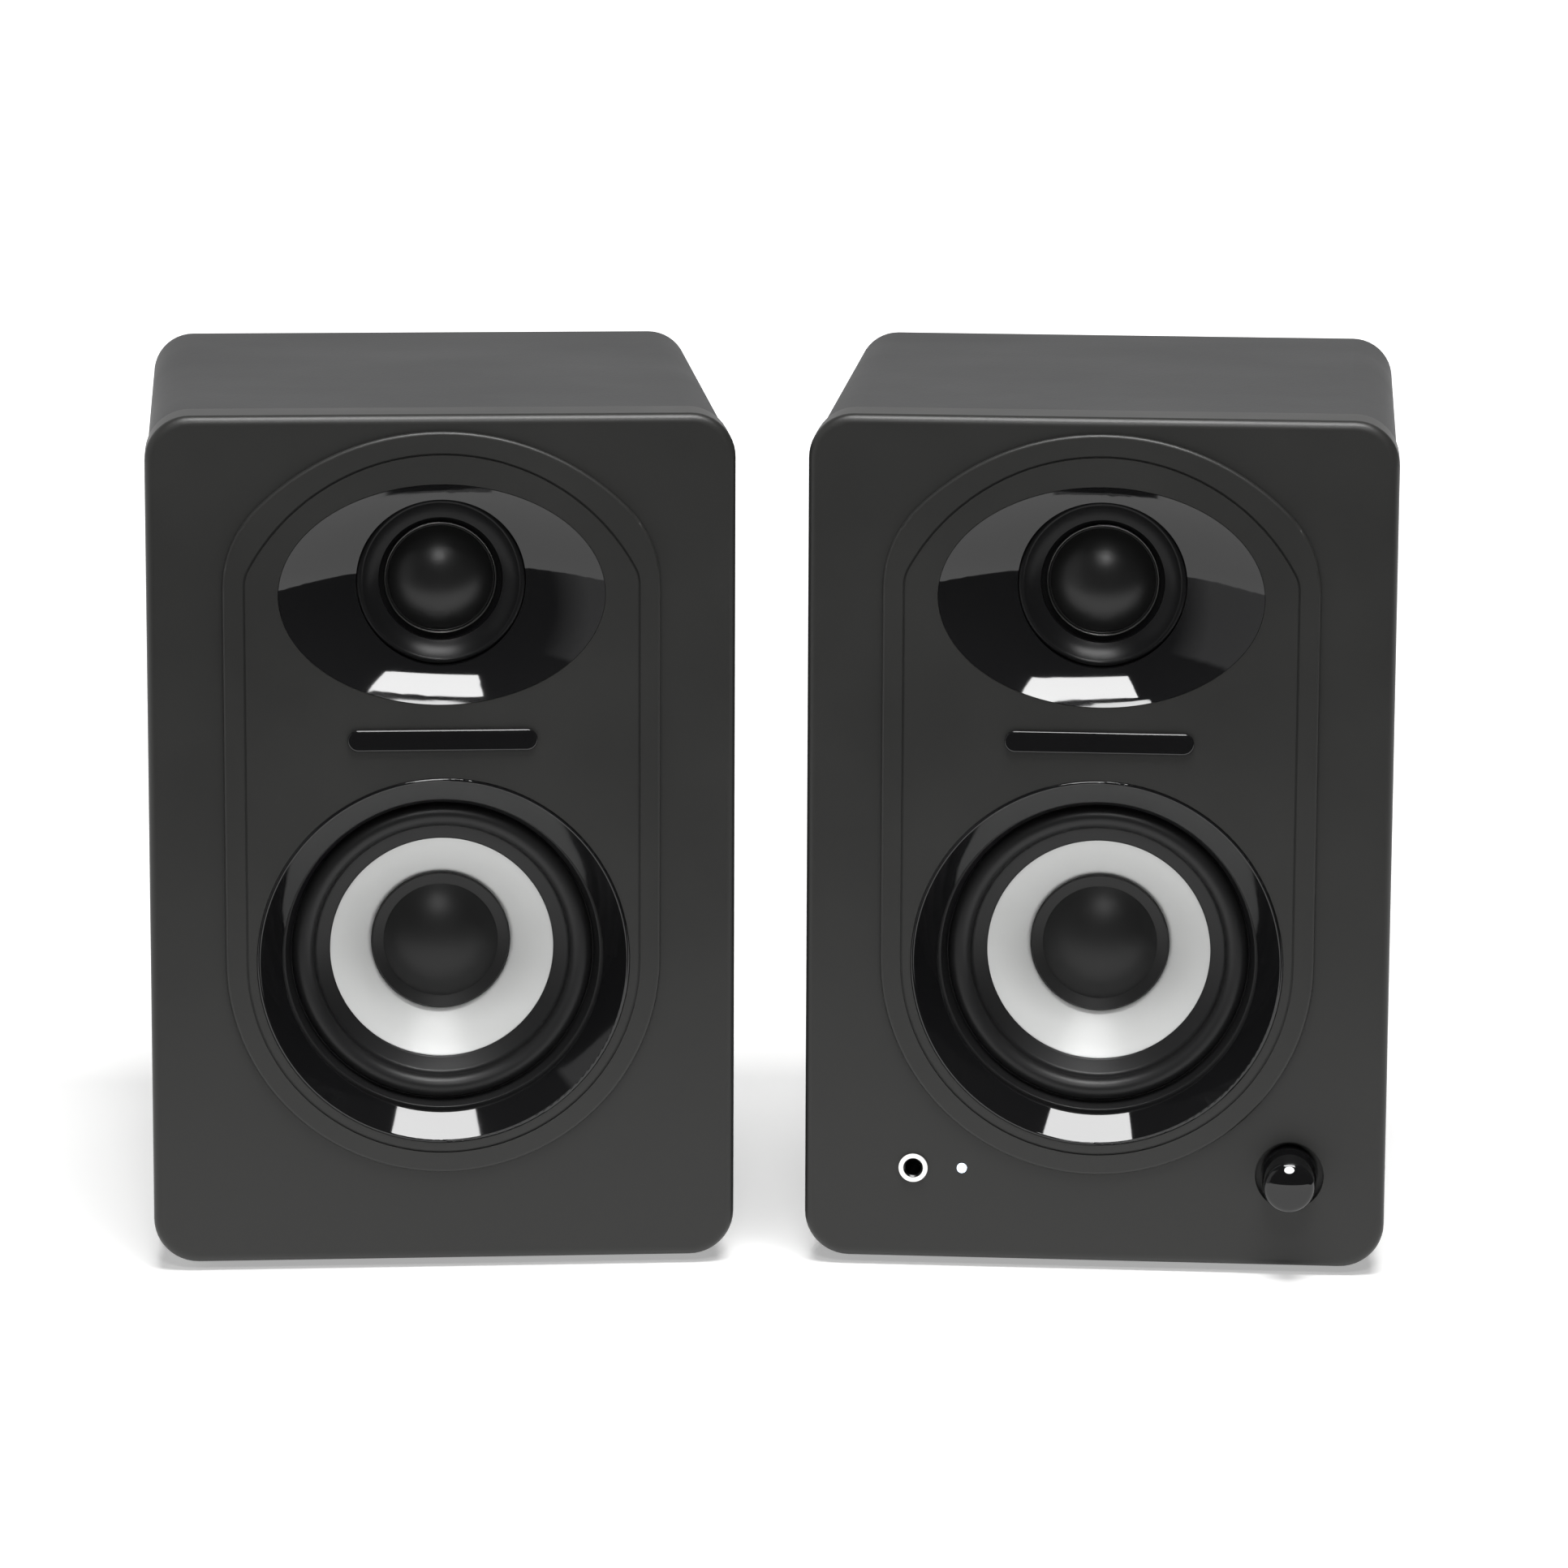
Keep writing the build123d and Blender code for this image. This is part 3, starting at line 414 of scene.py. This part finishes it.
def cabinet_vinyl():
    """Dark vinyl wrap with a shallow pebble grain."""
    material, tree, bsdf = new_material("cabinet_vinyl")
    where = coordinates(tree)
    cells = add(tree, "ShaderNodeTexVoronoi", Scale=1500.0)
    tree.links.new(where, cells.inputs["Vector"])
    clouds = noise(tree, where, 20.0, 4.0)
    feed(bsdf, "Base Color", mixed(tree, clouds, (0.017, 0.0175, 0.018), (0.022, 0.0225, 0.023)))
    feed(bsdf, "Roughness", spread(tree, clouds, 0.5, 0.58))
    bump(tree, bsdf, cells.outputs["Distance"], 0.00004)
    return material


def gloss_black():
    """Piano-black plastic with a few faint wiping marks."""
    material, tree, bsdf = new_material("gloss_black")
    where = coordinates(tree)
    clouds = noise(tree, where, 45.0, 5.0)
    feed(bsdf, "Base Color", mixed(tree, clouds, (0.0035, 0.0035, 0.0038), (0.005, 0.005, 0.0052)))
    feed(bsdf, "Roughness", spread(tree, clouds, 0.03, 0.06))
    bump(tree, bsdf, noise(tree, where, 90.0, 1.0), 0.000004)
    bsdf.inputs["Specular IOR Level"].default_value = 0.47
    return material


def satin_black():
    """Smooth satin moulding."""
    dark, light = (0.004, 0.004, 0.0042), (0.007, 0.007, 0.0073)
    return grained("satin_black", dark, light, 0.3, 0.03, 2000, 0.000006, 0.3)


def horn_black_and_ring_highlight(side):
    """Satin moulding of the horn; the fine ring that clamps the dome gets a brighter metallic grey, a painted
    highlight line.
    """
    material = satin_black()
    material.name = f"{side}_horn_black_and_ring_highlight"
    tree, bsdf = shader_of(material)
    bsdf.inputs["Specular IOR Level"].default_value = 0.14
    where = coordinates(tree)
    place = tweeter_frame(side)
    inside = within(tree, radius_about(tree, where, place), CLAMP_RING_R)
    front = within(tree, depth_behind(tree, where, place), CLAMP_RING_DEPTH)
    ring = product(tree, inside, front)
    # painted highlight: the clamp ring is coloured a brighter metallic grey so that it shows as a thin bright line
    over_colour(tree, bsdf, ring, (0.16, 0.16, 0.155))
    feed(bsdf, "Metallic", ring)
    return material


def surround_rubber():
    dark, light = (0.006, 0.006, 0.0063), (0.009, 0.009, 0.0093)
    return grained("surround_rubber", dark, light, 0.4, 0.03, 1400, 0.00001, 0.3)


def foot_rubber():
    return grained("foot_rubber", (0.012, 0.012, 0.012), (0.02, 0.02, 0.02), 0.7, 0.08, 900, 0.00005)


def cone_paper():
    """White coated paper with faint fibres."""
    material, tree, bsdf = new_material("cone_paper")
    where = coordinates(tree)
    fibres = noise(tree, where, 1200.0, 4.0, 0.65)
    clouds = noise(tree, where, 60.0, 3.0)
    feed(bsdf, "Base Color", mixed(tree, clouds, (0.56, 0.565, 0.56), (0.60, 0.605, 0.60)))
    feed(bsdf, "Roughness", spread(tree, fibres, 0.3, 0.4))
    bump(tree, bsdf, fibres, 0.000015)
    return material


def cap_paper():
    dark, light = (0.008, 0.008, 0.008), (0.011, 0.011, 0.011)
    return grained("cap_paper", dark, light, 0.4, 0.03, 1800, 0.00001, 0.3)


def woven(name, dark, light, pitch, depth, rough, rough_change, shine):
    """Plain weave: crossing threads at the given pitch in metres."""
    material, tree, bsdf = new_material(name)
    where = coordinates(tree)
    threads = []
    for direction in ("X", "Z"):
        wave = add(tree, "ShaderNodeTexWave", Scale=pi / (10 * pitch), Distortion=0.6, Detail=1.0)
        wave.bands_direction = direction
        tree.links.new(where, wave.inputs["Vector"])
        threads.append(wave.outputs["Fac"])
    cross = tree.nodes.new("ShaderNodeMath")
    cross.operation = "MAXIMUM"
    tree.links.new(threads[0], cross.inputs[0])
    tree.links.new(threads[1], cross.inputs[1])
    feed(bsdf, "Base Color", mixed(tree, cross.outputs["Value"], dark, light))
    wear = noise(tree, where, 300.0)
    feed(bsdf, "Roughness", spread(tree, wear, rough - rough_change, rough + rough_change))
    bump(tree, bsdf, cross.outputs["Value"], depth)
    bsdf.inputs["Specular IOR Level"].default_value = shine
    return material


def silk():
    return woven("silk", (0.004, 0.004, 0.004), (0.007, 0.007, 0.007), 0.00022, 0.000003, 0.33, 0.015, 0.35)


def spider_cloth():
    return woven("spider_cloth", (0.42, 0.27, 0.10), (0.62, 0.43, 0.19), 0.0006, 0.00006, 0.85, 0.05, 0.5)


def metal(name, dark, light, rough, streaks):
    """Bare metal with streaks along X; streaks is how much finer they are across than along."""
    material, tree, bsdf = new_material(name)
    stretch = add(tree, "ShaderNodeMapping", Scale=(1.0, streaks, streaks))
    tree.links.new(coordinates(tree), stretch.inputs["Vector"])
    marks = noise(tree, stretch.outputs["Vector"], 120.0, 5.0, 0.6)
    feed(bsdf, "Base Color", mixed(tree, marks, dark, light))
    feed(bsdf, "Roughness", spread(tree, marks, rough - 0.06, rough + 0.06))
    bump(tree, bsdf, marks, 0.000006)
    bsdf.inputs["Metallic"].default_value = 1.0
    return material


def powder_coat():
    return grained("panel_paint", (0.011, 0.011, 0.011), (0.016, 0.016, 0.016), 0.5, 0.05, 1300, 0.00004)


def ferrite():
    return grained("ferrite", (0.03, 0.03, 0.032), (0.06, 0.06, 0.062), 0.62, 0.08, 700, 0.00006)


def basket_paint():
    dark, light = (0.012, 0.012, 0.012), (0.018, 0.018, 0.018)
    return grained("basket_paint", dark, light, 0.4, 0.05, 800, 0.00002)


def winding():
    """Enamelled copper wire, wound in fine turns round the coil."""
    material, tree, bsdf = new_material("copper")
    where = coordinates(tree)
    turns = add(tree, "ShaderNodeTexWave", Scale=700.0, Distortion=0.2)
    turns.bands_direction = "Y"
    tree.links.new(where, turns.inputs["Vector"])
    feed(bsdf, "Base Color", mixed(tree, turns.outputs["Fac"], (0.28, 0.09, 0.03), (0.72, 0.33, 0.14)))
    feed(bsdf, "Roughness", spread(tree, noise(tree, where, 200.0), 0.25, 0.4))
    bump(tree, bsdf, turns.outputs["Fac"], 0.00003)
    bsdf.inputs["Metallic"].default_value = 1.0
    return material


def circuit_board():
    """Green solder mask with lighter copper tracks under it."""
    material, tree, bsdf = new_material("board_green")
    where = coordinates(tree)
    tracks = add(tree, "ShaderNodeTexVoronoi", Scale=260.0)
    tracks.feature = "DISTANCE_TO_EDGE"
    tree.links.new(where, tracks.inputs["Vector"])
    on_track = spread(tree, tracks.outputs["Distance"], 1.0, 0.0, 0.04, 0.07)
    feed(bsdf, "Base Color", mixed(tree, on_track, (0.008, 0.075, 0.028), (0.02, 0.16, 0.06)))
    feed(bsdf, "Roughness", spread(tree, noise(tree, where, 150.0), 0.22, 0.34))
    bump(tree, bsdf, on_track, 0.00003)
    return material


def knob_black():
    """Gloss black with a small white mark on the upper edge of the knob's end."""
    material = gloss_black()
    material.name = "knob_black"
    tree, bsdf = shader_of(material)
    axis = on_axis(axis_frame("right", "volume_knob", KNOB_MIDDLE), frame["joints"], "volume_turn")
    place = axis @ Matrix.Translation((0, 0, MARK_UP * MM))
    where = coordinates(tree)
    inside = within(tree, radius_about(tree, where, place, MARK_UPRIGHT), MARK_R)
    front = within(tree, depth_behind(tree, where, place), MARK_DEPTH)
    over_colour(tree, bsdf, product(tree, inside, front), (0.85, 0.86, 0.86))
    return material


def socket_nickel(node, mount):
    """Bright ring round a 3.5 mm socket whose inside is black."""
    material = metal(f"{node}_nickel", (0.72, 0.71, 0.70), (0.84, 0.83, 0.82), 0.25, 1.0)
    tree, bsdf = shader_of(material)
    where = coordinates(tree)
    reach = radius_about(tree, where, mount_frame(node, mount))
    inside = within(tree, reach, SOCKET_HOLE_R, 0.03)
    over_colour(tree, bsdf, inside, (0.002, 0.002, 0.002))
    feed(bsdf, "Metallic", spread(tree, inside, 1.0, 0.0, 0.0, 1.0))
    return material


def phono_nickel():
    """Nickel collars; each socket's insulator is moulded in its own colour."""
    material = metal("phono_nickel", (0.62, 0.61, 0.58), (0.74, 0.73, 0.70), 0.2, 1.0)
    tree, bsdf = shader_of(material)
    where = coordinates(tree)
    colours = {"phono_socket_left": (0.7, 0.7, 0.68), "phono_socket_right": (0.5, 0.012, 0.014)}
    bare = []
    for name, colour in colours.items():
        inside = within(tree, radius_about(tree, where, mount_frame("rca_jacks", name)), INSULATOR_R, 0.025)
        over_colour(tree, bsdf, inside, colour)
        bare.append(spread(tree, inside, 1.0, 0.0, 0.0, 1.0))
    feed(bsdf, "Metallic", product(tree, *bare))
    return material


def lamp():
    """Lit lamp behind a milky lens."""
    material, tree, bsdf = new_material("lamp")
    where = coordinates(tree)
    haze = noise(tree, where, 900.0, 2.0)
    feed(bsdf, "Base Color", mixed(tree, haze, (0.75, 0.85, 1.0), (0.9, 0.95, 1.0)))
    bsdf.inputs["Emission Color"].default_value = (0.72, 0.86, 1.0, 1)
    bsdf.inputs["Emission Strength"].default_value = 1.6
    feed(bsdf, "Roughness", spread(tree, haze, 0.25, 0.35))
    return material


def coloured_plastic(name, dark, light):
    return grained(name, dark, light, 0.28, 0.04, 1500, 0.00001)


def paint(materials):
    """Gives every CAD node its material, by the slot that the record names for it."""
    for entry in frame["record"]["subparts"]:
        piece = NODES[entry["node"]]
        piece.data.materials.clear()
        piece.data.materials.append(materials[entry["material_slot"]])
    NODES["volume_knob"].data.materials[0] = knob_black()
    NODES["rca_jacks"].data.materials[0] = phono_nickel()
    for node, mount in (("headphone_jack", "headphone_socket"), ("aux_jack", "aux_socket")):
        NODES[node].data.materials[0] = socket_nickel(node, mount)
    for side in SIDES:
        NODES[f"{side}_tweeter_faceplate"].data.materials[0] = horn_black_and_ring_highlight(side)


def all_materials():
    return {
        "cabinet_vinyl": cabinet_vinyl(),
        "front_plastic": front_plastic(),
        "gloss_black": gloss_black(),
        "satin_black": satin_black(),
        "foot_rubber": foot_rubber(),
        "surround_rubber": surround_rubber(),
        "basket_paint": basket_paint(),
        "cone_paper": cone_paper(),
        "cap_paper": cap_paper(),
        "copper": winding(),
        "spider_cloth": spider_cloth(),
        "plated_steel": metal("plated_steel", (0.42, 0.42, 0.40), (0.58, 0.58, 0.55), 0.34, 6.0),
        "ferrite": ferrite(),
        "silk": silk(),
        "screw_steel": metal("screw_steel", (0.03, 0.03, 0.03), (0.06, 0.06, 0.06), 0.4, 1.0),
        "capacitor_film": coloured_plastic("capacitor_film", (0.02, 0.05, 0.2), (0.03, 0.07, 0.26)),
        "lever_black": coloured_plastic("lever_black", (0.008, 0.008, 0.008), (0.012, 0.012, 0.012)),
        "lever_red": coloured_plastic("lever_red", (0.38, 0.01, 0.012), (0.46, 0.016, 0.018)),
        "panel_paint": powder_coat(),
        "board_green": circuit_board(),
        "transformer_iron": metal("transformer_iron", (0.12, 0.12, 0.13), (0.24, 0.24, 0.25), 0.5, 14.0),
        "nickel": metal("nickel", (0.62, 0.61, 0.58), (0.74, 0.73, 0.70), 0.2, 1.0),
        "shaft_aluminium": metal("shaft_aluminium", (0.62, 0.62, 0.62), (0.75, 0.75, 0.75), 0.3, 8.0),
        "lamp": lamp(),
    }


# ---- stage, light and camera ----
def floor_white():
    """White that glows a little, and more so far away, where the softbox no longer reaches."""
    material, tree, bsdf = new_material("floor_white")
    where = coordinates(tree)
    clouds = noise(tree, where, 1.5, 2.0)
    feed(bsdf, "Base Color", mixed(tree, clouds, (0.72, 0.72, 0.715), (0.74, 0.74, 0.735)))
    glow = spread(tree, length(tree, where), NEAR_GLOW, FAR_GLOW, 0.3, 1.2)
    feed(bsdf, "Emission Strength", glow)
    bsdf.inputs["Emission Color"].default_value = (1, 1, 1, 1)
    bsdf.inputs["Roughness"].default_value = 0.9
    bsdf.inputs["Specular IOR Level"].default_value = 0.1
    return material


def floor():
    """White table top, and the white floor in front of it that the gloss parts don't mirror."""
    size = FLOOR_SIZE
    material = floor_white()
    for name, low, high in (("table", TABLE_FRONT, size), ("floor", -size, TABLE_FRONT)):
        verts = [(-size, low, 0), (size, low, 0), (size, high, 0), (-size, high, 0)]
        ground = mesh_object(name, verts, [(0, 1, 2, 3)], smooth=False)
        ground.data.materials.append(material)
        ground.visible_glossy = name == "table"


def backdrop():
    """White paper all round, far away. Only the camera sees it, so the gloss parts don't mirror it."""
    bpy.ops.mesh.primitive_uv_sphere_add(segments=48, ring_count=24, radius=BACKDROP_R)
    paper = bpy.context.object
    paper.name = "backdrop"
    material, _, bsdf = new_material("backdrop_white")
    bsdf.inputs["Base Color"].default_value = (0, 0, 0, 1)
    bsdf.inputs["Emission Color"].default_value = (1, 1, 1, 1)
    bsdf.inputs["Emission Strength"].default_value = 1.1
    paper.data.materials.append(material)
    for ray in ("diffuse", "glossy", "transmission", "volume_scatter", "shadow"):
        setattr(paper, f"visible_{ray}", False)


def area_light(name, place, aim, width, depth, radiance):
    data = bpy.data.lights.new(name, "AREA")
    data.shape = "RECTANGLE"
    data.size, data.size_y = width, depth
    data.energy = radiance * pi * width * depth
    light = bpy.data.objects.new(name, data)
    light.location = place
    light.rotation_euler = (Vector(aim) - Vector(place)).to_track_quat("-Z", "Y").to_euler()
    bpy.context.scene.collection.objects.link(light)


def studio():
    area_light("overhead_softbox", (0.08, -0.316, 1.53), (0.08, -0.316, 0.0), 0.90, 0.42, 18)
    area_light("upper_softbox", (0.13, -0.68, 1.38), (0.13, -0.68, 0.0), 0.76, 0.30, 22)
    area_light("front_softbox", (0.03, -2.0, 1.5), (0, 0, 0.1), 0.36, 0.3, 34)


def surroundings():
    """Dark room in front and to the right; a brighter one behind and to the left, up to 38 degrees high."""
    world = bpy.data.worlds.new("surroundings")
    bpy.context.scene.world = world
    world.use_nodes = True
    tree = world.node_tree
    direction = tree.nodes.new("ShaderNodeTexCoord").outputs["Generated"]
    parts = tree.nodes.new("ShaderNodeSeparateXYZ")
    tree.links.new(direction, parts.inputs["Vector"])
    side = vector_math(tree, "DOT_PRODUCT", direction, (-0.75, 0.66, 0)).outputs["Value"]
    towards = spread(tree, side, 0.0, 1.0, -0.05, 0.15)
    low = spread(tree, parts.outputs["Z"], 1.0, 0.0, 0.6, 0.64)
    strength = spread(tree, product(tree, towards, low), 0.05, 0.62, 0.0, 1.0)
    tree.links.new(strength, tree.nodes["Background"].inputs["Strength"])
    tree.nodes["Background"].inputs["Color"].default_value = (1, 1, 1, 1)


def camera():
    """Long lens in front of the pair, looking slightly down."""
    data = bpy.data.cameras.new("camera")
    data.sensor_width = SENSOR_MM
    data.lens = LENS_MM
    data.clip_end = 100.0
    view = bpy.data.objects.new("camera", data)
    view.location = CAMERA_PLACE
    aim = Matrix.Rotation(-CAMERA_YAW, 4, "Z") @ Matrix.Rotation(pi / 2 - CAMERA_PITCH, 4, "X")
    view.rotation_euler = (aim @ Matrix.Rotation(CAMERA_ROLL, 4, "Z")).to_euler()
    bpy.context.scene.collection.objects.link(view)
    bpy.context.scene.camera = view


camera()
studio()
surroundings()
floor()
backdrop()
materials = all_materials()
paint(materials)
for side in SIDES:
    woofer_surround(side, materials["surround_rubber"])
    woofer_spider(side, materials["spider_cloth"])
    tweeter_surround(side, materials["silk"])
printed_lines()
bpy.context.scene.view_settings.view_transform = "Standard"
